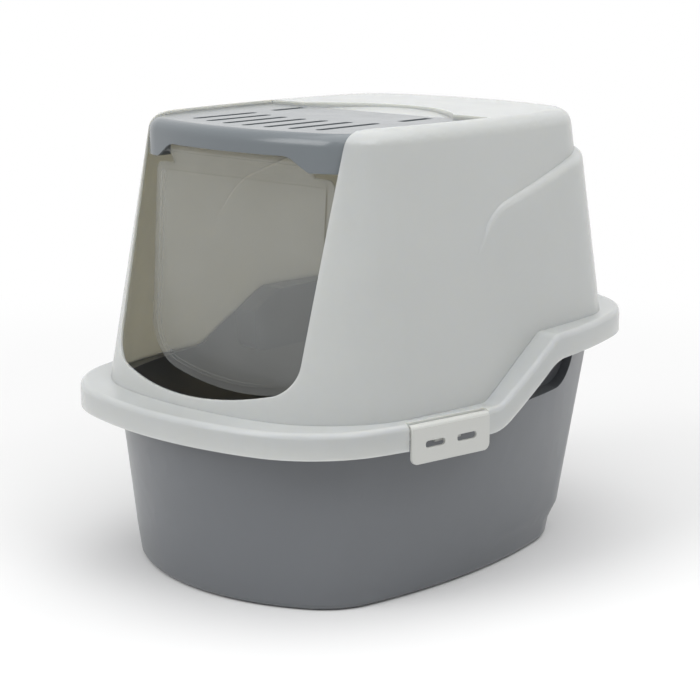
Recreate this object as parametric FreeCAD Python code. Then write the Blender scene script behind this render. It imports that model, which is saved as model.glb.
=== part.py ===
import FreeCAD, Part
import math
import os

# Hooded cat litter box: tray, hood with a deep rim, flip-up front visor that carries the
# swing door and a carbon filter, and two side clips. Millimetres, +Z up, front towards -Y,
# origin on the floor under the middle of the hood's rim.

V = FreeCAD.Vector

# ---- hood rim (the skirt that hangs over the tray) -------------------------------------
rim_half_width = 197.5
rim_half_length = 247.1
rim_side_radius = 549.0
rim_end_radius = 359.0
rim_corner_radius = 108.0
rim_depth = 21.9            # height of the hanging skirt
rim_edge_round = 5.0
ledge_front = 167.5         # height of the rim's top ledge at the front
ledge_rear = 215.6          # and at the rear
slope_front_y = -33.0       # the ledge climbs between these two places
slope_rear_y = 46.0
slope_round = 20.0          # bends of the ledge
slope_round_low = 45.0      # bends of the skirt's lower edge

# ---- hood cabin ------------------------------------------------------------------------
cabin_base_half_width = 178.8
cabin_base_half_length = 219.8
cabin_base_shift = 3.3
cabin_base_side_radius = 725.0
cabin_base_end_radius = 395.0
cabin_base_corner_radius = 111.0
cabin_top = 401.0
cabin_top_half_width = 145.0
cabin_top_half_length = 175.0
cabin_top_shift = 8.7
cabin_top_side_radius = 726.0
cabin_top_end_radius = 332.5
cabin_top_corner_radius = 53.0
cabin_top_round = 16.0
hood_wall = 2.4

# ---- raised rear shoulder of the cabin -------------------------------------------------
# Its outline lies further back than the cabin's, so it fades into the side wall forwards.
shoulder_base_half_width = 178.5
shoulder_base_half_length = 196.7
shoulder_base_side_radius = 757.0
shoulder_base_end_radius = 271.0
shoulder_base_corner_radius = 68.3
shoulder_base_shift = 32.1
shoulder_proud_top = 4.5    # how far its side stands out of the cabin's at the crown
shoulder_longer_top = 4.7   # and its rear
shoulder_shift_top = 25.0   # how much further back its outline lies there
shoulder_rounder_top = 4.5  # how much larger its corners are there
shoulder_rear_top = cabin_top - 35.0    # height of its upper line at the rear
shoulder_rear_y = 160.0
shoulder_knee = (0.0, cabin_top - 72.0)
shoulder_foot = (-50.0, cabin_top - 133.0)
shoulder_round = 9.0        # its crest is well rounded

# ---- openings in the hood --------------------------------------------------------------
sill_height = 176.5
doorway_half_width_low = 110.5
doorway_low_height = 215.0
doorway_corner_radius = 28.0
doorway_sill_bow = 360.0    # radius of the sill's downward bow
pillar_depth_y = -128.0     # the doorway cut reaches back to here
visor_margin = 14.0         # from the cabin's side to the top opening
top_opening_rear = 25.2
ledge_width = 8.0           # the shelf that the visor's edge rests on
ledge_shelf_rear = 8.0
visor_gap = 0.8
dish_rear = 68.0
dish_half_width = 91.0
dish_depth = 7.0

# ---- tray ------------------------------------------------------------------------------
tray_wall = 2.4
tray_floor = 2.8
tray_bottom_half_width = 148.8
tray_bottom_half_length = 193.7
tray_bottom_shift = -9.1
tray_bottom_side_radius = 534.8
tray_bottom_end_radius = 197.2
tray_bottom_corner_radius = 70.4
tray_top_half_width = 176.1
tray_top_half_length = 227.7
tray_top_shift = -1.9
tray_top_side_radius = 422.3
tray_top_end_radius = 190.7
tray_top_corner_radius = 69.5
tray_bottom_round = 8.0
foot_height = 19.0          # the rear of the tray steps in above the floor
foot_step_top = 33.0
foot_step_in = 4.0
lip_height = 10.0
lip_wall = 2.0
seat_gap = 0.3              # between the tray's rim and the hood that sits on it
rim_side_gap = 1.2          # between the tray's rim and the inside of the skirt
grip_depth = 20.0           # finger grip under each side of the rim
grip_front_y = 18.0
grip_rear_y = 116.0
grip_floor = 156.0
grip_round = 30.0

# ---- visor -----------------------------------------------------------------------------
visor_wall = 2.2
visor_drop = 3.4            # its top lies this far under the cabin's crown
visor_rear = 21.0
visor_front_round = 11.0
visor_rim_depth = 5.3
visor_inset = 1.0           # its front lies this far inside the cabin's surface
visor_crease = cabin_top - 14.5        # below this line its face leans in, towards the door
visor_scoop = 3.0           # by this much at the ears' lower edge
visor_lip_height = cabin_top - 22.5
ear_bottom = cabin_top - 35.0
ear_inner_x = 91.0
ear_start_x = 71.0
ear_back_y = -142.0
vent_count = 7
vent_pitch = 24.7
vent_length = 75.7
vent_width = 8.0
vent_front_y = -141.9
vent_stagger = 1.4
visor_axis_y = 15.5
visor_axis_z = cabin_top - 10.5
hinge_x = 77.0
hinge_pin_radius = 2.2
hinge_eye_radius = 4.4
hinge_arm_width = 8.0
cheek_wall = 2.4
pin_clearance = 0.3
side_clearance = 0.4
hinge_window_length = 39.0
hinge_window_width = 9.0

# ---- door ------------------------------------------------------------------------------
door_half_width = 107.0
door_wall = 2.0
door_axis_y = -149.0
door_axis_z = cabin_top - 28.0
door_top = cabin_top - 41.0
door_bottom = 169.0
door_bow = 290.0            # radius of its lower edge
door_top_y = -142.5         # middle of the panel at its top
door_lean = 13.0            # how much further forward its bottom is
door_corner_radius = 45.0
door_top_corner_radius = 8.0
door_border = 9.0
door_raise = 1.6
door_roll_radius = 3.2
door_pin_radius = 2.2
door_pin_length = 8.0

# ---- filter ----------------------------------------------------------------------------
pad_length = 92.0
pad_width = 168.0
pad_thickness = 7.0
pad_centre_y = -97.0
frame_wall = 2.0
frame_bar = 4.0
frame_bars_long = 4
frame_bars_cross = 3

# ---- side clips ------------------------------------------------------------------------
clip_length = 84.0
clip_centre_y = -92.0
clip_bottom = 133.6
clip_wall = 2.2
clip_proud = 0.3
clip_slot_length = 21.0
clip_slot_height = 6.0
clip_slot_spacing = 34.0
clip_slot_z = 149.0
clip_corner_radius = 6.0
clip_axis_in = 4.2
clip_axis_z = 162.5
clip_rod_radius = 2.0
clip_eye_radius = 3.9
clip_end_gap = 1.0
clip_recess = 9.2
clip_lug = 2.4
clip_catch_top = 151.2
clip_catch_height = 2.7
clip_catch_gap = 0.5

far = 600.0


def bowed_plan(half_width, half_length, side_radius, end_radius, corner_radius, shift, z):
    """Rounded rectangle whose four sides bow outwards: eight tangent arcs at height z."""
    side_centre = V(half_width - side_radius, 0, 0)
    end_centre = V(0, half_length - end_radius, 0)
    reach_side = side_radius - corner_radius
    reach_end = end_radius - corner_radius
    apart = end_centre.sub(side_centre)
    gap = apart.Length
    along = (reach_side**2 - reach_end**2 + gap**2) / (2 * gap)
    across = math.sqrt(reach_side**2 - along**2)
    unit = V(apart.x / gap, apart.y / gap, 0)
    normal = V(-unit.y, unit.x, 0)
    candidates = [side_centre + unit * along + normal * (s * across) for s in (1, -1)]
    corner = max(candidates, key=lambda p: p.x + p.y)
    t_side = (corner - side_centre).normalize() * side_radius + side_centre
    t_end = (corner - end_centre).normalize() * end_radius + end_centre
    middle = ((t_side - corner).normalize() + (t_end - corner).normalize()).normalize()
    t_corner = corner + middle * corner_radius

    def at(point, sx, sy):
        return V(sx * point.x, sy * point.y + shift, z)

    side_mid = V(half_width, 0, 0)
    end_mid = V(0, half_length, 0)
    edges = []
    for sx, sy in ((1, -1), (1, 1), (-1, 1), (-1, -1)):
        upward = sx * sy > 0
        first, last = (t_side, t_end) if upward else (t_end, t_side)
        edges.append(Part.Arc(at(first, sx, sy), at(t_corner, sx, sy), at(last, sx, sy)).toShape())
        if upward:
            edges.append(Part.Arc(at(t_end, sx, sy), at(end_mid, 1, sy), at(t_end, -sx, sy)).toShape())
        else:
            edges.append(Part.Arc(at(t_side, sx, sy), at(side_mid, sx, 1), at(t_side, sx, -sy)).toShape())
    return Part.Wire(edges)


def mix(low, high, share):
    return tuple(a + (b - a) * share for a, b in zip(low, high))


def inset(plan, amount):
    """A plan drawn parallel to another, further in by amount."""
    return tuple(value - amount for value in plan[:5]) + (plan[5],)


cabin_base_plan = (cabin_base_half_width, cabin_base_half_length, cabin_base_side_radius,
                   cabin_base_end_radius, cabin_base_corner_radius, cabin_base_shift)
cabin_top_plan = (cabin_top_half_width, cabin_top_half_length, cabin_top_side_radius,
                  cabin_top_end_radius, cabin_top_corner_radius, cabin_top_shift)
shoulder_base_plan = (shoulder_base_half_width, shoulder_base_half_length,
                      shoulder_base_side_radius, shoulder_base_end_radius,
                      shoulder_base_corner_radius, shoulder_base_shift)
shoulder_top_plan = (cabin_top_half_width + shoulder_proud_top,
                     cabin_top_half_length + shoulder_longer_top - shoulder_shift_top,
                     cabin_top_side_radius, cabin_top_end_radius,
                     cabin_top_corner_radius + shoulder_rounder_top,
                     cabin_top_shift + shoulder_shift_top)
tray_bottom_plan = (tray_bottom_half_width, tray_bottom_half_length, tray_bottom_side_radius,
                    tray_bottom_end_radius, tray_bottom_corner_radius, tray_bottom_shift)
tray_top_plan = (tray_top_half_width, tray_top_half_length, tray_top_side_radius,
                 tray_top_end_radius, tray_top_corner_radius, tray_top_shift)
rim_plan = (rim_half_width, rim_half_length, rim_side_radius,
            rim_end_radius, rim_corner_radius, 0.0)


def cabin_plan(z):
    return mix(cabin_base_plan, cabin_top_plan, (z - ledge_front) / (cabin_top - ledge_front))


def shoulder_plan(z):
    return mix(shoulder_base_plan, shoulder_top_plan, (z - ledge_front) / (cabin_top - ledge_front))


def tray_plan(z):
    return mix(tray_bottom_plan, tray_top_plan, z / ledge_front)


def foot_plan(z):
    width, length, side, end, corner, shift = tray_plan(z)
    return (width - foot_step_in / 3, length - foot_step_in, side, end, corner,
            shift - foot_step_in)


def loft(sections, amount=0.0):
    wires = [bowed_plan(*inset(plan, amount), z) for plan, z in sections]
    return Part.makeLoft(wires, True, True)


def prism(plan, low, high):
    return Part.Face(bowed_plan(*plan, low)).extrude(V(0, 0, high - low))


def box(x0, x1, y0, y1, z0, z1):
    return Part.makeBox(x1 - x0, y1 - y0, z1 - z0, V(x0, y0, z0))


def rod(radius, start, end):
    return Part.makeCylinder(radius, (end - start).Length, start, end - start)


def mirrored(shape):
    return shape.mirror(V(0, 0, 0), V(1, 0, 0))


def rounded_path(points, radii):
    """Edges through the points, in a plane, with a tangent arc at each inner point."""
    edges = []
    start = points[0]
    for index in range(1, len(points) - 1):
        corner = points[index]
        back = (points[index - 1] - corner).normalize()
        ahead = (points[index + 1] - corner).normalize()
        half = back.getAngle(ahead) / 2
        reach = radii[index - 1] / math.tan(half)
        inner = (back + ahead).normalize()
        centre = corner + inner * (radii[index - 1] / math.sin(half))
        first, last = corner + back * reach, corner + ahead * reach
        edges.append(Part.LineSegment(start, first).toShape())
        edges.append(Part.Arc(first, centre - inner * radii[index - 1], last).toShape())
        start = last
    edges.append(Part.LineSegment(start, points[-1]).toShape())
    return edges


def outline(points, radii):
    """Closed face through the points, each rounded by its radius (0 keeps it sharp)."""
    count = len(points)
    edges = []
    spots = []
    for index in range(count):
        corner = points[index]
        radius = radii[index]
        if radius == 0:
            spots.append((corner, corner, None))
            continue
        back = (points[index - 1] - corner).normalize()
        ahead = (points[(index + 1) % count] - corner).normalize()
        half = back.getAngle(ahead) / 2
        reach = radius / math.tan(half)
        inner = (back + ahead).normalize()
        centre = corner + inner * (radius / math.sin(half))
        spots.append((corner + back * reach, corner + ahead * reach, centre - inner * radius))
    for index in range(count):
        first, last, middle = spots[index]
        if middle is not None:
            edges.append(Part.Arc(first, middle, last).toShape())
        following = spots[(index + 1) % count][0]
        if last.distanceToPoint(following) > 1e-6:
            edges.append(Part.LineSegment(last, following).toShape())
    return Part.Face(Part.Wire(edges))


def below_ledge(drop):
    """Everything under the rim's ledge line, moved down by drop."""
    bend = slope_round_low if drop == rim_depth else slope_round
    path = rounded_path(
        [V(-far, -far, ledge_front - drop), V(-far, slope_front_y, ledge_front - drop),
         V(-far, slope_rear_y, ledge_rear - drop), V(-far, far, ledge_rear - drop)],
        [bend, bend])
    path.append(Part.LineSegment(V(-far, far, ledge_rear - drop), V(-far, far, -far)).toShape())
    path.append(Part.LineSegment(V(-far, far, -far), V(-far, -far, -far)).toShape())
    path.append(Part.LineSegment(V(-far, -far, -far), V(-far, -far, ledge_front - drop)).toShape())
    return Part.Face(Part.Wire(path)).extrude(V(2 * far, 0, 0))


def band(low_drop, high_drop):
    return below_ledge(high_drop).cut(below_ledge(low_drop))


# ---- hood ------------------------------------------------------------------------------

def shoulder_side(drop):
    """Region under the shoulder's sweeping upper line."""
    knee_y, knee_z = shoulder_knee
    foot_y, foot_z = shoulder_foot
    points = [V(-far, foot_y - 9, 0), V(-far, foot_y, foot_z - drop),
              V(-far, knee_y, knee_z - drop), V(-far, shoulder_rear_y, shoulder_rear_top - drop),
              V(-far, far, shoulder_rear_top - drop), V(-far, far, 0)]
    return outline(points, [0, 45, 60, 60, 0, 0]).extrude(V(2 * far, 0, 0))


def cabin(amount, low=120.0):
    """The cabin with its rear shoulder, drawn in by amount all over."""
    top = cabin_top - amount
    body = loft([(cabin_plan(low), low), (cabin_plan(cabin_top), top)], amount)
    crown = [edge for edge in body.Edges if all(abs(v.Z - top) < 1e-4 for v in edge.Vertexes)]
    body = body.makeFillet(cabin_top_round - amount, crown)
    shoulder = loft([(shoulder_plan(low), low), (shoulder_plan(cabin_top), top)], amount)
    shoulder = shoulder.common(shoulder_side(amount))
    inside = shoulder_side(amount + 0.3)
    crest = []
    for edge in shoulder.Edges:
        ends = (edge.FirstParameter, edge.LastParameter)
        spots = [edge.valueAt(ends[0] + (ends[1] - ends[0]) * t) for t in (0.1, 0.5, 0.9)]
        across = abs(spots[1].x) < 1.0 and spots[1].y < shoulder_rear_y
        if not across and all(p.z > low + 1 and not inside.isInside(p, 1e-3, True) for p in spots):
            crest.append(edge)
    shoulder = shoulder.makeFillet(shoulder_round - amount, crest)
    return body.fuse(shoulder)


def top_opening(grow, rear, front=pillar_depth_y):
    """Opening in the cabin's crown: sides parallel to the cabin's, straight rear edge."""
    half = cabin_top_half_width - visor_margin + grow

    def side_x(y):
        return half - (y - cabin_top_shift)**2 / (2 * cabin_top_side_radius)

    corners = [(side_x(front), front), (side_x(rear), rear)]
    middle = (front + rear) / 2
    right = Part.Arc(V(corners[0][0], front, 0), V(side_x(middle), middle, 0),
                     V(corners[1][0], rear, 0)).toShape()
    back = Part.LineSegment(V(corners[1][0], rear, 0), V(-corners[1][0], rear, 0)).toShape()
    left = Part.Arc(V(-corners[1][0], rear, 0), V(-side_x(middle), middle, 0),
                    V(-corners[0][0], front, 0)).toShape()
    close = Part.LineSegment(V(-corners[0][0], front, 0), V(corners[0][0], front, 0)).toShape()
    return Part.Face(Part.Wire([right, back, left, close]))


def pillar_x(z):
    """Half-width of the doorway at a height: it widens towards the crown."""
    top_half = cabin_top_half_width - visor_margin
    top_half -= (pillar_depth_y - cabin_top_shift)**2 / (2 * cabin_top_side_radius)
    share = (z - doorway_low_height) / (cabin_top - doorway_low_height)
    return doorway_half_width_low + (top_half - doorway_half_width_low) * share


def between_pillars(gap, low):
    """Straight-sided outline between the doorway's sides, drawn in by gap."""
    return [V(pillar_x(low) - gap, -far, low), V(pillar_x(far) - gap, -far, far),
            V(-pillar_x(far) + gap, -far, far), V(-pillar_x(low) + gap, -far, low)]


def gate(half, lean, level, bottom, bow, corner, top, top_round, y):
    """Doorway-like face: sagging lower edge, round lower corners, sides x = half at level."""
    slant = math.sqrt(1 + lean**2)
    bow_z = bottom + bow
    offset = half - corner * slant - lean * level
    reach = bow_z - offset * lean
    rest = reach**2 - slant**2 * (offset**2 + bow_z**2 - (bow - corner)**2)
    centre_z = (reach - math.sqrt(rest)) / slant**2
    centre = V(offset + lean * centre_z, y, centre_z)
    side = centre + V(corner / slant, 0, -corner * lean / slant)
    hub = V(0, y, bow_z)
    low = hub + (centre - hub).normalize() * bow
    middle = centre + ((side - centre).normalize() + (low - centre).normalize()).normalize() * corner

    def flip(point):
        return V(-point.x, point.y, point.z)

    edges = [Part.Arc(flip(low), V(0, y, bottom), low).toShape(),
             Part.Arc(low, middle, side).toShape()]
    shoulder = V(half + lean * (top - top_round - level), y, top - top_round)
    edges.append(Part.LineSegment(side, shoulder).toShape())
    tip = V(shoulder.x - top_round, y, top)
    if top_round > 0:
        hub = V(shoulder.x - top_round, y, shoulder.z)
        bend = hub + V(1, 0, 1).normalize() * top_round
        edges.append(Part.Arc(shoulder, bend, tip).toShape())
        edges.append(Part.LineSegment(tip, flip(tip)).toShape())
        edges.append(Part.Arc(flip(tip), flip(bend), flip(shoulder)).toShape())
    else:
        edges.append(Part.LineSegment(shoulder, flip(shoulder)).toShape())
    edges.append(Part.LineSegment(flip(shoulder), flip(side)).toShape())
    edges.append(Part.Arc(flip(side), flip(middle), flip(low)).toShape())
    return Part.Face(Part.Wire(edges))


def doorway_cut():
    level = doorway_low_height
    lean = (pillar_x(cabin_top) - pillar_x(level)) / (cabin_top - level)
    face = gate(doorway_half_width_low, lean, level, sill_height, doorway_sill_bow,
                doorway_corner_radius, far, 0, -far)
    return face.extrude(V(0, far + pillar_depth_y, 0))


def dish(grow, drop):
    """Half-moon hollow in the crown behind the visor, its floor rising to the rear."""
    span = dish_rear - top_opening_rear
    radius = (dish_half_width**2 + span**2) / (2 * span)
    centre_y = dish_rear - radius
    round_wall = Part.makeCylinder(radius + grow, 200, V(0, centre_y, cabin_top - 100))
    floor = cabin_top - dish_depth - drop
    wedge = Part.Face(Part.makePolygon([
        V(-far, top_opening_rear - 40 - grow, floor), V(-far, top_opening_rear, floor),
        V(-far, dish_rear + grow, floor + dish_depth * 0.6), V(-far, dish_rear + grow, far),
        V(-far, top_opening_rear - 40 - grow, far),
        V(-far, top_opening_rear - 40 - grow, floor)])).extrude(V(2 * far, 0, 0))
    return round_wall.common(wedge).common(box(-far, far, top_opening_rear - 30, far, 0, far))


def hinge_arm(side):
    """Arm on the hood's rear edge that holds the visor's pin from below."""
    x0 = side * hinge_x - hinge_arm_width / 2
    x1 = side * hinge_x + hinge_arm_width / 2
    eye = rod(hinge_eye_radius, V(x0, visor_axis_y, visor_axis_z), V(x1, visor_axis_y, visor_axis_z))
    foot_z = visor_axis_z - 17
    post = box(x0, x1, visor_axis_y - 3, visor_axis_y + 3, foot_z, visor_axis_z)
    foot = box(x0, x1, visor_axis_y - 3, top_opening_rear + 6, foot_z, foot_z + 3)
    riser = box(x0, x1, top_opening_rear + 2.6, top_opening_rear + 6, foot_z,
                cabin_top - dish_depth - 1)
    bore = rod(hinge_pin_radius + pin_clearance, V(x0 - 1, visor_axis_y, visor_axis_z),
               V(x1 + 1, visor_axis_y, visor_axis_z))
    return eye.fuse([post, foot, riser]).cut(bore)


def clip_frame(shape):
    """Place a shape drawn at the clip (x outwards, y along the rim) on the right side."""
    lean = math.asin(clip_centre_y / rim_side_radius)
    x = rim_half_width - rim_side_radius * (1 - math.cos(lean))
    placed = shape.copy()
    placed.rotate(V(0, 0, 0), V(0, 0, 1), math.degrees(lean))
    placed.translate(V(x, clip_centre_y, 0))
    return placed


clip_half = clip_length / 2
recess_half = clip_half + clip_end_gap


def clip_recess_cut():
    return clip_frame(box(-clip_recess, 30, -recess_half, recess_half,
                          ledge_front - rim_depth - 6, ledge_front + 6))


def clip_mount():
    """Back wall, two lugs and the rod that the clip turns on."""
    under = ledge_front - hood_wall / 2
    back = box(-clip_recess - hood_wall, -clip_recess, -recess_half - clip_lug,
               recess_half + clip_lug, clip_catch_top + 0.8, under)
    parts = [back]
    for end in (-1, 1):
        y0 = min(end * recess_half, end * (recess_half + clip_lug))
        parts.append(box(-clip_recess - hood_wall, -3.0, y0, y0 + clip_lug, clip_axis_z - 5, under))
    parts.append(rod(clip_rod_radius, V(-clip_axis_in, -recess_half - 1, clip_axis_z),
                     V(-clip_axis_in, recess_half + 1, clip_axis_z)))
    return clip_frame(parts[0].fuse(parts[1:]))


def make_hood():
    body = cabin(0.0).cut(below_ledge(hood_wall))
    skirt = prism(rim_plan, 100, 260).common(band(rim_depth, 0))
    top_edges = []
    for edge in skirt.Edges:
        spots = [edge.valueAt(edge.FirstParameter + (edge.LastParameter - edge.FirstParameter) * t)
                 for t in (0.1, 0.5, 0.9)]
        inside = below_ledge(0.4)
        if all(not inside.isInside(p, 1e-3, True) for p in spots):
            top_edges.append(edge)
    skirt = skirt.makeFillet(rim_edge_round, top_edges)
    skirt_hollow = prism(inset(rim_plan, hood_wall), 60, 260).common(below_ledge(hood_wall))

    shelf_low = cabin_top - visor_drop - visor_rim_depth - 2.5
    shelf_block = top_opening(visor_gap + hood_wall, top_opening_rear + hood_wall, pillar_depth_y)
    shelf_block.translate(V(0, 0, shelf_low))
    shelf_block = shelf_block.extrude(V(0, 0, 40))
    hollow = cabin(hood_wall).cut(shelf_block).cut(dish(hood_wall, hood_wall))
    hood = body.fuse(skirt).cut(skirt_hollow).cut(hollow)

    rebate = top_opening(visor_gap, top_opening_rear)
    rebate.translate(V(0, 0, shelf_low + 2.2))
    hood = hood.cut(rebate.extrude(V(0, 0, 40)))
    through = top_opening(-ledge_width, ledge_shelf_rear)
    through.translate(V(0, 0, shelf_low - 20))
    hood = hood.cut(through.extrude(V(0, 0, 60)))
    rear_gap = top_opening(visor_gap, top_opening_rear, ledge_shelf_rear)
    rear_gap.translate(V(0, 0, shelf_low - 20))
    hood = hood.cut(rear_gap.extrude(V(0, 0, 60)))
    hood = hood.cut(doorway_cut()).cut(dish(0, 0))
    for side in (-1, 1):
        hood = hood.fuse(hinge_arm(side))
    recess, mount = clip_recess_cut(), clip_mount()
    hood = hood.cut([recess, mirrored(recess)]).fuse([mount, mirrored(mount)])
    return hood.removeSplitter()


# ---- tray ------------------------------------------------------------------------------

def tray_body(amount, floor):
    sections = [(foot_plan(0), floor), (foot_plan(foot_height), foot_height + floor),
                (tray_plan(foot_step_top), foot_step_top + floor), (tray_plan(240), 240.0)]
    return loft(sections, amount)


def grip_pocket(grow):
    """Finger grip in the right wall: a rounded pocket open outwards, under the rim."""
    points = [V(0, grip_front_y - grow, grip_floor - grow),
              V(0, grip_rear_y + grow, grip_floor - grow),
              V(0, grip_rear_y + grow, far), V(0, grip_front_y - grow, far)]
    shape = outline(points, [8 + grow, grip_round + grow, 0, 0]).extrude(V(far, 0, 0))
    shape.translate(V(tray_top_half_width - 6 - grip_depth - grow, 0, 0))
    return shape


def make_tray():
    rim_drop = hood_wall + seat_gap
    outer = tray_body(0.0, 0.0)
    sole = [edge for edge in outer.Edges if all(abs(v.Z) < 1e-4 for v in edge.Vertexes)]
    outer = outer.makeFillet(tray_bottom_round, sole).common(below_ledge(rim_drop))
    lip_plan = inset(rim_plan, hood_wall + rim_side_gap)
    flange = prism(lip_plan, 100, 260).common(band(rim_drop + tray_wall, rim_drop))
    lip = prism(lip_plan, 100, 260).cut(prism(inset(lip_plan, lip_wall), 90, 270))
    lip = lip.common(band(rim_drop + lip_height, rim_drop))
    clear = clip_recess + hood_wall + rim_side_gap
    notch = clip_frame(box(-clear, 30, -recess_half - 4, recess_half + 4, 100, 260))
    keeper = clip_frame(box(-clear - lip_wall, -clear, -recess_half - 4, recess_half + 4,
                            ledge_front - rim_drop - lip_height, ledge_front - rim_drop))
    flange = flange.fuse(lip).cut([notch, mirrored(notch)]).fuse([keeper, mirrored(keeper)])
    hollow = tray_body(tray_wall, tray_floor)
    pocket, block = grip_pocket(0.0), grip_pocket(tray_wall)
    block = block.common(below_ledge(rim_drop))
    pocket = pocket.common(below_ledge(rim_drop + tray_wall))
    hollow = hollow.cut([block, mirrored(block)])
    lip_keep = prism(lip_plan, 100, 260).cut(prism(inset(lip_plan, lip_wall), 90, 270))
    pocket = pocket.cut(lip_keep)
    tray = outer.fuse(flange).cut(hollow).cut([pocket, mirrored(pocket)])
    return tray.removeSplitter()


# ---- visor -----------------------------------------------------------------------------

visor_top = cabin_top - visor_drop


def visor_form(amount, rear):
    """Solid that the visor's shell is cut from, drawn in by amount."""
    lean_in = visor_inset + amount
    top = visor_top - amount
    body = loft([(inset(cabin_plan(ear_bottom), visor_scoop), ear_bottom),
                 (cabin_plan(visor_crease), visor_crease), (cabin_plan(top), top)], lean_in)
    crown = [edge for edge in body.Edges if all(abs(v.Z - top) < 1e-4 for v in edge.Vertexes)]
    body = body.makeFillet(visor_front_round - amount, crown)
    plan_part = top_opening(-amount, rear)
    plan_part.translate(V(0, 0, 150))
    plan_part = plan_part.extrude(V(0, 0, 300))
    front_part = outline(between_pillars(visor_gap + amount, 200), [0, 0, 0, 0])
    front_part = front_part.extrude(V(0, far + pillar_depth_y, 0))
    return body.common(plan_part.fuse(front_part))


def visor_keep():
    """What is left of the shell: rims at the sides, and the arched lip with its two ears."""
    rims = box(-far, far, pillar_depth_y - 2, far, visor_top - visor_rim_depth, far)
    ear_top_x = ear_start_x
    rise = visor_lip_height - ear_bottom
    points = [V(far, -far, ear_bottom), V(far, -far, far), V(-far, -far, far),
              V(-far, -far, ear_bottom), V(-ear_inner_x, -far, ear_bottom),
              V(-ear_top_x, -far, visor_lip_height), V(ear_top_x, -far, visor_lip_height),
              V(ear_inner_x, -far, ear_bottom)]
    lip = outline(points, [0, 0, 0, 0, rise * 0.6, rise * 1.4, rise * 1.4, rise * 0.6])
    return rims.fuse(lip.extrude(V(0, far + pillar_depth_y, 0)))


def vent_slots():
    slots = []
    for index in range(vent_count):
        place = index - (vent_count - 1) / 2
        x = place * vent_pitch
        y0 = vent_front_y + vent_stagger * place**2
        half = vent_width / 2
        body = box(x - half, x + half, y0 + half, y0 + vent_length - half, visor_top - 6, visor_top + 6)
        ends = [rod(half, V(x, y, visor_top - 6), V(x, y, visor_top + 6))
                for y in (y0 + half, y0 + vent_length - half)]
        slots.append(body.fuse(ends))
    return slots


def make_visor():
    shell = visor_form(0.0, visor_rear).cut(visor_form(visor_wall, visor_rear + 5))
    shell = shell.common(visor_keep())
    parts = []
    for side in (-1, 1):
        ear_x = sorted((side * (ear_inner_x + 2.2), side * ear_inner_x))
        plate = box(ear_x[0], ear_x[1], -200, ear_back_y, ear_bottom, visor_top)
        parts.append(plate.common(visor_form(0.4, visor_rear)))
        for face in (-1, 1):
            inner = side * hinge_x + face * (hinge_arm_width / 2 + side_clearance)
            outer = inner + face * cheek_wall
            x0, x1 = min(inner, outer), max(inner, outer)
            eye = rod(hinge_eye_radius, V(x0, visor_axis_y, visor_axis_z),
                      V(x1, visor_axis_y, visor_axis_z))
            web = box(x0, x1, visor_axis_y - hinge_eye_radius, visor_axis_y + hinge_eye_radius,
                      visor_axis_z, visor_top - visor_wall / 2)
            parts.append(eye.fuse(web))
        span = hinge_arm_width / 2 + side_clearance + cheek_wall
        parts.append(rod(hinge_pin_radius, V(side * hinge_x - span, visor_axis_y, visor_axis_z),
                         V(side * hinge_x + span, visor_axis_y, visor_axis_z)))
    visor = shell.fuse(parts)
    cuts = vent_slots()
    for side in (-1, 1):
        x = side * hinge_x
        y1 = visor_axis_y - hinge_eye_radius - 0.6
        cuts.append(box(x - hinge_window_width / 2, x + hinge_window_width / 2,
                        y1 - hinge_window_length, y1, visor_top - 4, visor_top + 4))
        start = side * (ear_inner_x - 1)
        end = side * (ear_inner_x + 5)
        cuts.append(rod(door_pin_radius + pin_clearance, V(start, door_axis_y, door_axis_z),
                        V(end, door_axis_y, door_axis_z)))
    return visor.cut(cuts).removeSplitter()


# ---- door ------------------------------------------------------------------------------

def door_sheet(margin, offset, thick):
    """Flat leaning sheet of the door, in from its edge by margin, offset forwards."""
    high_round = max(door_top_corner_radius - margin, 2.0)
    face = gate(door_half_width - margin, 0.0, 0.0, door_bottom + margin, door_bow - margin,
                door_corner_radius - margin, door_top - margin, high_round, 0.0)
    sheet = face.extrude(V(0, thick, 0))
    sheet.translate(V(0, -thick / 2 - offset, 0))
    lean = math.degrees(math.atan(door_lean / (door_top - door_bottom)))
    sheet.rotate(V(0, 0, door_top), V(1, 0, 0), -lean)
    sheet.translate(V(0, door_top_y, 0))
    return sheet


def make_door():
    frame = door_sheet(0.0, 0.0, door_wall)
    window = door_sheet(door_border, 0.0, door_wall * 4)
    raised = door_sheet(door_border - door_wall, door_raise, door_wall)
    panel = frame.cut(window).fuse(raised)
    half = ear_inner_x - 1.0
    roll = rod(door_roll_radius, V(-half, door_axis_y, door_axis_z), V(half, door_axis_y, door_axis_z))
    web = Part.Face(Part.makePolygon([
        V(-half + 6, door_axis_y - 1.4, door_axis_z - 1), V(-half + 6, door_axis_y + 1.6, door_axis_z + 1),
        V(-half + 6, door_top_y + 1.0, door_top + 0.5), V(-half + 6, door_top_y + 1.0, door_top - 2),
        V(-half + 6, door_top_y - 1.0, door_top - 2),
        V(-half + 6, door_axis_y - 1.4, door_axis_z - 1)])).extrude(V(2 * (half - 6), 0, 0))
    pins = [rod(door_pin_radius, V(side * (half - 2), door_axis_y, door_axis_z),
                V(side * (half - 2 + door_pin_length - 2.2), door_axis_y, door_axis_z))
            for side in (-1, 1)]
    return panel.fuse([roll, web] + pins).removeSplitter()


# ---- filter ----------------------------------------------------------------------------

pad_top = visor_top - visor_wall
pad_low = pad_top - pad_thickness


def make_filter_pad():
    half_x, half_y = pad_width / 2, pad_length / 2
    points = [V(half_x, pad_centre_y - half_y, pad_low), V(half_x, pad_centre_y + half_y, pad_low),
              V(-half_x, pad_centre_y + half_y, pad_low), V(-half_x, pad_centre_y - half_y, pad_low)]
    return outline(points, [6, 6, 6, 6]).extrude(V(0, 0, pad_thickness))


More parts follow.
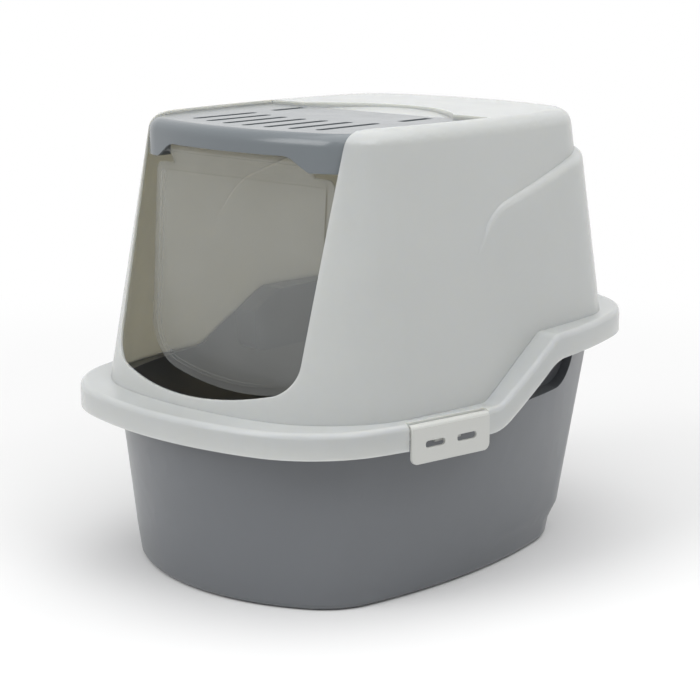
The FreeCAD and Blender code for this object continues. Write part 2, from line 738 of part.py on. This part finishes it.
def make_filter_frame():
    half_x, half_y = pad_width / 2 + 0.3, pad_length / 2 + 0.3
    floor = pad_low - frame_wall
    outer = box(-half_x - frame_wall, half_x + frame_wall, pad_centre_y - half_y - frame_wall,
                pad_centre_y + half_y + frame_wall, floor, pad_top)
    frame = outer.cut(box(-half_x, half_x, pad_centre_y - half_y, pad_centre_y + half_y,
                          pad_low, pad_top + 1))
    step_x = (2 * half_x + frame_bar) / (frame_bars_long + 1)
    step_y = (2 * half_y + frame_bar) / (frame_bars_cross + 1)
    holes = []
    for i in range(frame_bars_long + 1):
        for j in range(frame_bars_cross + 1):
            x0 = -half_x + i * step_x
            y0 = pad_centre_y - half_y + j * step_y
            holes.append(box(x0, x0 + step_x - frame_bar, y0, y0 + step_y - frame_bar,
                             floor - 1, pad_low + 1))
    return frame.cut(holes)


# ---- clips -----------------------------------------------------------------------------

def make_clip():
    face = outline([V(-clip_wall + clip_proud, -clip_half, clip_bottom),
                    V(-clip_wall + clip_proud, clip_half, clip_bottom),
                    V(-clip_wall + clip_proud, clip_half, clip_axis_z),
                    V(-clip_wall + clip_proud, -clip_half, clip_axis_z)],
                   [clip_corner_radius, clip_corner_radius, 0, 0]).extrude(V(clip_wall, 0, 0))
    eye = rod(clip_eye_radius, V(-clip_axis_in, -clip_half, clip_axis_z),
              V(-clip_axis_in, clip_half, clip_axis_z))
    neck = box(-clip_axis_in, clip_proud, -clip_half, clip_half, clip_axis_z - 3.9, clip_axis_z + 1)
    catch_tip = -(clip_recess + hood_wall + rim_side_gap) + clip_catch_gap
    catch = box(catch_tip, 0, -14, 14, clip_catch_top - clip_catch_height, clip_catch_top)
    clip = face.fuse([eye, neck, catch])
    clip = clip.cut(rod(clip_rod_radius + pin_clearance, V(-clip_axis_in, -far, clip_axis_z),
                        V(-clip_axis_in, far, clip_axis_z)))
    for side in (-1, 1):
        y = side * clip_slot_spacing / 2
        half_y, half_z = clip_slot_length / 2, clip_slot_height / 2
        slot = outline([V(-4, y - half_y, clip_slot_z - half_z), V(-4, y + half_y, clip_slot_z - half_z),
                        V(-4, y + half_y, clip_slot_z + half_z), V(-4, y - half_y, clip_slot_z + half_z)],
                       [half_z * 0.9] * 4)
        clip = clip.cut(slot.extrude(V(8, 0, 0)))
    return clip_frame(clip.removeSplitter())


def export(shape, name):
    shape.exportStep("parts/" + name + ".step")
    print(name, "valid", shape.isValid(), "solids", len(shape.Solids),
          "volume cm3 %.1f" % (shape.Volume / 1000))


os.makedirs("parts", exist_ok=True)
clip_right = make_clip()
export(make_tray(), "tray")
export(make_hood(), "hood")
export(make_visor(), "visor")
export(make_door(), "door")
export(make_filter_pad(), "filter_pad")
export(make_filter_frame(), "filter_frame")
export(clip_right, "clip_right")
export(mirrored(clip_right), "clip_left")
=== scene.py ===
import math

import bpy
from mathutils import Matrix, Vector


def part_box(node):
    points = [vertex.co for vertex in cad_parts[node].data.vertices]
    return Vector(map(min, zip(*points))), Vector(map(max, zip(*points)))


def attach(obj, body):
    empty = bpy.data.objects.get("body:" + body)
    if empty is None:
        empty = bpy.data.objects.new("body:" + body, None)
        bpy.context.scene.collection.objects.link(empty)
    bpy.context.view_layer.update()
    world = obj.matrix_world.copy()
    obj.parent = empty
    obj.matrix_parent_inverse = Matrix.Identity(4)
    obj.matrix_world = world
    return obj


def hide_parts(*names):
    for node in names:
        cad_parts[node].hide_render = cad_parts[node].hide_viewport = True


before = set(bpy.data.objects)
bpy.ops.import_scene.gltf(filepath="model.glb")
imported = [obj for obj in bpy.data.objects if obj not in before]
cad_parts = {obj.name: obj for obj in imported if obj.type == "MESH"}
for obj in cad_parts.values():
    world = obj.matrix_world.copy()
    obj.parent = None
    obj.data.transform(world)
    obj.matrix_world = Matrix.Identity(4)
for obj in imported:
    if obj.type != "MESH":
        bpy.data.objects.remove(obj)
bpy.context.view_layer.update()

MM = 0.001
WHITE = (1.0, 1.0, 1.0, 1.0)

# A Mix node has sockets for numbers, vectors and colours: these are the colour ones.
COLOUR_A, COLOUR_B, COLOUR_OUT = 6, 7, 2

# Meshes: corners this close are one corner, edges that turn by more than the first angle
# get a round, and edges that turn by more than the second stay crisp when shaded.
SAME_CORNER = 0.02 * MM
ROUNDED_FROM = math.radians(30)
CRISP_FROM = math.radians(35)

# Polypropylene: width of the mould's grain, how far the roughness wanders either way, and
# how deep daylight soaks into a milky grade, in red, green and blue.
GRAIN_WIDTH = 0.9 * MM
POLISH = 0.02
SOAK_DEPTH = 14.0 * MM
SOAK_TINT = (1.0, 0.93, 0.76)

# Foam block: edge round, height and width of its unevenness, and pore width.
FOAM_EDGE = 1.6 * MM
FOAM_DIP = 0.9 * MM
FOAM_SWELL = 22 * MM
FOAM_PORE = 1.5 * MM

# Light boxes of the studio: name, place, side in metres and power in watts. They face AIM.
AIM = Vector((0, 0, 0.2))
LIGHT_BOXES = (
    ("top_box", (0.4, 0.0, 2.3), 3.2, 50.0),
    ("front_box", (-0.5, -2.3, 1.9), 1.6, 33.0),
    ("side_box", (2.2, -0.3, 2.1), 1.2, 13.0),
)
FLOOR_SIZE = 60
SKY_LIGHT = 0.42

# Camera: the point it looks at, and its direction from there.
CAMERA_TARGET = Vector((-0.0008, -0.0079, 0.1817))
CAMERA_AZIMUTH = math.radians(42.63)
CAMERA_ELEVATION = math.radians(12.56)
CAMERA_DISTANCE = 1.706
CAMERA_LENS = 95.5
CAMERA_SENSOR = 36


# ---- small tools ---------------------------------------------------------------------

def linear(colour):
    """sRGB hex to linear RGBA."""
    channels = [int(colour[i:i + 2], 16) / 255 for i in (1, 3, 5)]
    return tuple(c / 12.92 if c <= 0.04045 else ((c + 0.055) / 1.055)**2.4
                 for c in channels) + (1.0,)


def add(tree, kind, settings=None, links=None, **values):
    """Adds one node: settings by attribute, values by input name, links from sockets."""
    node = tree.nodes.new(kind)
    for key, value in (settings or {}).items():
        setattr(node, key, value)
    for key, value in values.items():
        node.inputs[key.replace("_", " ")].default_value = value
    for key, socket in (links or {}).items():
        tree.links.new(socket, node.inputs[key])
    return node


def between(tree, value, low, high, source=(0.3, 0.7)):
    """A number that goes from low to high while value goes over the source range."""
    return add(tree, "ShaderNodeMapRange", links={"Value": value}, From_Min=source[0],
               From_Max=source[1], To_Min=low, To_Max=high).outputs["Result"]


def colour_between(tree, factor, first, second):
    """A colour that goes from first to second as factor goes from 0 to 1."""
    node = add(tree, "ShaderNodeMix", {"data_type": "RGBA"}, {"Factor": factor})
    node.inputs[COLOUR_A].default_value = linear(first)
    node.inputs[COLOUR_B].default_value = linear(second)
    return node.outputs[COLOUR_OUT]


def shader_between(tree, factor, first, second):
    """A surface that goes from first to second as factor goes from 0 to 1."""
    return add(tree, "ShaderNodeMixShader",
               links={"Fac": factor, 1: first, 2: second}).outputs["Shader"]


def new_material(name):
    """An empty material, with its node tree and its Object coordinates."""
    mat = bpy.data.materials.new(name)
    mat.use_nodes = True
    mat.node_tree.nodes.clear()
    place = add(mat.node_tree, "ShaderNodeTexCoord").outputs["Object"]
    return mat, mat.node_tree, place


def only(obj):
    """Selects one object and nothing else."""
    bpy.ops.object.select_all(action="DESELECT")
    obj.select_set(True)
    bpy.context.view_layer.objects.active = obj


def declare(piece, body, node):
    """Puts a piece on its body and in place of its CAD node."""
    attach(piece, body)
    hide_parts(node)


def rounded_copy(node, name, body, material, soften, segments=2):
    """A CAD node's shape with the small round every moulded edge has."""
    piece = bpy.data.objects.new(name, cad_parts[node].data.copy())
    piece.data.name = name
    bpy.context.scene.collection.objects.link(piece)
    only(piece)
    bpy.ops.object.mode_set(mode="EDIT")
    bpy.ops.mesh.select_all(action="SELECT")
    bpy.ops.mesh.remove_doubles(threshold=SAME_CORNER)
    bpy.ops.mesh.customdata_custom_splitnormals_clear()
    bpy.ops.object.mode_set(mode="OBJECT")
    edge_round = piece.modifiers.new("edge_round", "BEVEL")
    edge_round.width = soften
    edge_round.segments = segments
    edge_round.limit_method = "ANGLE"
    edge_round.angle_limit = ROUNDED_FROM
    bpy.ops.object.modifier_apply(modifier="edge_round")
    bpy.ops.object.shade_smooth_by_angle(angle=CRISP_FROM)
    true_faces = piece.modifiers.new("true_faces", "WEIGHTED_NORMAL")
    true_faces.mode = "FACE_AREA"
    true_faces.keep_sharp = True
    bpy.ops.object.modifier_apply(modifier="true_faces")
    piece.data.materials.clear()
    piece.data.materials.append(material)
    declare(piece, body, node)


# ---- materials -----------------------------------------------------------------------

def polypropylene(name, shade, deep, roughness, grain_height, glow=0.0):
    """Injection-moulded polypropylene: a satin skin over a fine spark-eroded grain, faint
    cloudy flow marks, and roughness that wanders a little where hands have polished it.
    Light grades are milky: glow lets daylight soak through the thin wall, a little warm."""
    mat, tree, place = new_material(name)
    flow = add(tree, "ShaderNodeTexNoise", links={"Vector": place}, Scale=7.0, Detail=3.0,
               Roughness=0.5)
    polish = add(tree, "ShaderNodeTexNoise", links={"Vector": place}, Scale=23.0, Detail=4.0)
    grain = add(tree, "ShaderNodeTexNoise", links={"Vector": place},
                Scale=1 / GRAIN_WIDTH, Detail=2.0, Roughness=0.6)
    tint = colour_between(tree, flow.outputs["Fac"], deep, shade)
    satin = between(tree, polish.outputs["Fac"], roughness - POLISH, roughness + POLISH)
    skin = add(tree, "ShaderNodeBump", links={"Height": grain.outputs["Fac"]},
               Strength=0.07, Distance=grain_height)
    shader = add(tree, "ShaderNodeBsdfPrincipled",
                 links={"Base Color": tint, "Roughness": satin,
                        "Normal": skin.outputs["Normal"]}, IOR=1.49,
                 Subsurface_Weight=glow, Subsurface_Scale=SOAK_DEPTH,
                 Subsurface_Radius=SOAK_TINT)
    add(tree, "ShaderNodeOutputMaterial", links={"Surface": shader.outputs["BSDF"]})
    return mat


def clear_styrene(name):
    """Smoky clear polystyrene sheet: see-through and warm, with a glossy skin that mirrors
    more at a flat angle, slightly milkier where dust clings to it."""
    mat, tree, place = new_material(name)
    dust = add(tree, "ShaderNodeTexNoise", links={"Vector": place}, Scale=14.0, Detail=5.0)
    veil = between(tree, dust.outputs["Fac"], 0.14, 0.18)
    smear = between(tree, dust.outputs["Fac"], 0.10, 0.18)
    body = add(tree, "ShaderNodeBsdfPrincipled", links={"Roughness": smear},
               IOR=1.59, Base_Color=linear("#BFC3C4"))
    clear = add(tree, "ShaderNodeBsdfTransparent", Color=linear("#FCFBF9"))
    rim = add(tree, "ShaderNodeFresnel", IOR=1.35)
    side = add(tree, "ShaderNodeNewGeometry")
    outer = between(tree, side.outputs["Backfacing"], 1.0, 0.0, (0.0, 1.0))
    share = add(tree, "ShaderNodeMath", {"operation": "MULTIPLY_ADD"},
                {0: rim.outputs["Fac"], 1: outer, 2: veil})
    blend = shader_between(tree, share.outputs["Value"], clear.outputs["BSDF"],
                           body.outputs["BSDF"])
    add(tree, "ShaderNodeOutputMaterial", links={"Surface": blend})
    return mat


def carbon_foam(name):
    """Open-cell polyurethane foam loaded with carbon: near black, matt, pitted with pores
    drawn a little coarser than real so that they show. Each pit is painted darker towards
    its centre as painted shade."""
    mat, tree, place = new_material(name)
    pores = add(tree, "ShaderNodeTexVoronoi", {"feature": "F1"}, {"Vector": place},
                Scale=1 / FOAM_PORE)
    # Painted shade: the colour darkens into each pore's pit, following the same distance as
    # the bump.
    pit_shade_tone = colour_between(tree, pores.outputs["Distance"], "#0E0E0F", "#303133")
    pits = add(tree, "ShaderNodeBump", links={"Height": pores.outputs["Distance"]},
               Strength=0.8, Distance=0.6 * MM)
    shader = add(tree, "ShaderNodeBsdfPrincipled",
                 links={"Base Color": pit_shade_tone, "Normal": pits.outputs["Normal"]},
                 Roughness=0.95)
    add(tree, "ShaderNodeOutputMaterial", links={"Surface": shader.outputs["BSDF"]})
    return mat


hood_grey = polypropylene("polypropylene_light_grey", "#BEC0BD", "#B8BAB7", 0.245, 0.05 * MM,
                          glow=0.8)
tray_grey = polypropylene("polypropylene_mid_grey", "#6A6D71", "#65686C", 0.30, 0.05 * MM,
                          glow=0.2)
visor_grey = polypropylene("polypropylene_blue_grey", "#6B7175", "#666C70", 0.20, 0.04 * MM)
clip_white = polypropylene("polypropylene_off_white", "#C4C5C2", "#BEBFBB", 0.34, 0.04 * MM)
frame_grey = polypropylene("polypropylene_filter_frame", "#6C7276", "#666B70", 0.45, 0.05 * MM)
smoke = clear_styrene("polystyrene_clear_smoky")
foam_black = carbon_foam("polyurethane_foam_carbon")


# ---- pieces --------------------------------------------------------------------------

def make_foam():
    """Foam block in its frame: soft rounded edges, faces that dip a little here and there."""
    low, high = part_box("filter_pad")
    bpy.ops.object.select_all(action="DESELECT")
    bpy.ops.mesh.primitive_cube_add(size=1, location=(low + high) / 2)
    block = bpy.context.object
    block.name = block.data.name = "carbon_foam_pad"
    block.scale = high - low
    bpy.ops.object.transform_apply(location=True, rotation=True, scale=True)
    bpy.ops.object.mode_set(mode="EDIT")
    bpy.ops.mesh.select_all(action="SELECT")
    bpy.ops.mesh.bevel(offset=FOAM_EDGE, segments=3)
    bpy.ops.mesh.select_all(action="SELECT")
    bpy.ops.mesh.subdivide(number_cuts=18)
    bpy.ops.object.mode_set(mode="OBJECT")
    swell = bpy.data.textures.new("foam_swell", "CLOUDS")
    swell.noise_scale = FOAM_SWELL
    uneven = block.modifiers.new("uneven", "DISPLACE")
    uneven.texture = swell
    uneven.texture_coords = "LOCAL"
    uneven.mid_level = 1.0
    uneven.strength = FOAM_DIP
    bpy.ops.object.modifier_apply(modifier="uneven")
    bpy.ops.object.shade_smooth()
    block.data.materials.append(foam_black)
    declare(block, "visor", "filter_pad")


rounded_copy("hood", "hood_shell", "hood", hood_grey, 0.9 * MM)
rounded_copy("tray", "tray_tub", "tray", tray_grey, 0.9 * MM)
rounded_copy("visor", "visor_cover", "visor", visor_grey, 0.6 * MM)
rounded_copy("door", "swing_door", "door", smoke, 0.8 * MM, segments=3)
for clip in ("clip_left", "clip_right"):
    rounded_copy(clip, "side_" + clip, clip, clip_white, 1.1 * MM, segments=3)
make_foam()
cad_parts["filter_frame"].data.materials[0] = frame_grey


# ---- floor, lights, camera -----------------------------------------------------------

def backlit_paper(name):
    """Matt white background paper, lit through from behind further out, so that it has no
    horizon. It gives other surfaces half of the light that it shows the camera."""
    mat, tree, place = new_material(name)
    away = add(tree, "ShaderNodeVectorMath", {"operation": "LENGTH"}, {"Vector": place})
    share = add(tree, "ShaderNodeMapRange", {"interpolation_type": "SMOOTHSTEP"},
                {"Value": away.outputs["Value"]}, From_Min=0.35, From_Max=1.3)
    paper = add(tree, "ShaderNodeBsdfDiffuse", Color=linear("#ECECEC"))
    ray = add(tree, "ShaderNodeLightPath")
    spread = between(tree, ray.outputs["Is Diffuse Ray"], 1.0, 0.5, (0.0, 1.0))
    lit = add(tree, "ShaderNodeEmission", links={"Strength": spread}, Color=WHITE)
    blend = shader_between(tree, share.outputs["Result"], paper.outputs["BSDF"],
                           lit.outputs["Emission"])
    add(tree, "ShaderNodeOutputMaterial", links={"Surface": blend})
    return mat


def make_floor():
    bpy.ops.object.select_all(action="DESELECT")
    bpy.ops.mesh.primitive_plane_add(size=FLOOR_SIZE, location=(0, 0, 0))
    floor = bpy.context.object
    floor.name = "studio_floor"
    floor.data.materials.append(backlit_paper("studio_paper"))


def make_air():
    """A room that is soft and grey as a light, and white where it is seen or mirrored."""
    world = bpy.data.worlds.new("studio_air")
    world.use_nodes = True
    air = world.node_tree
    air.nodes.clear()
    ray = add(air, "ShaderNodeLightPath")
    seen = add(air, "ShaderNodeMath", {"operation": "MAXIMUM"},
               {0: ray.outputs["Is Camera Ray"], 1: ray.outputs["Is Glossy Ray"]})
    soft = add(air, "ShaderNodeBackground", Color=WHITE, Strength=SKY_LIGHT)
    bright = add(air, "ShaderNodeBackground", Color=WHITE, Strength=1.0)
    sky = shader_between(air, seen.outputs["Value"], soft.outputs["Background"],
                         bright.outputs["Background"])
    add(air, "ShaderNodeOutputWorld", links={"Surface": sky})
    bpy.context.scene.world = world


def make_lamps():
    for name, place, size, power in LIGHT_BOXES:
        lamp = bpy.data.lights.new(name, "AREA")
        lamp.shape = "SQUARE"
        lamp.size = size
        lamp.energy = power
        holder = bpy.data.objects.new(name, lamp)
        holder.location = place
        holder.rotation_euler = (AIM - Vector(place)).to_track_quat("-Z", "Y").to_euler()
        bpy.context.scene.collection.objects.link(holder)


def make_camera():
    level = math.cos(CAMERA_ELEVATION)
    back = Vector((math.sin(CAMERA_AZIMUTH) * level, -math.cos(CAMERA_AZIMUTH) * level,
                   math.sin(CAMERA_ELEVATION)))
    data = bpy.data.cameras.new("studio_camera")
    data.sensor_width = CAMERA_SENSOR
    data.lens = CAMERA_LENS
    holder = bpy.data.objects.new("studio_camera", data)
    holder.location = CAMERA_TARGET + back * CAMERA_DISTANCE
    holder.rotation_euler = (-back).to_track_quat("-Z", "Y").to_euler()
    bpy.context.scene.collection.objects.link(holder)
    bpy.context.scene.camera = holder


make_floor()
make_air()
make_lamps()
make_camera()
bpy.context.scene.view_settings.view_transform = "Standard"
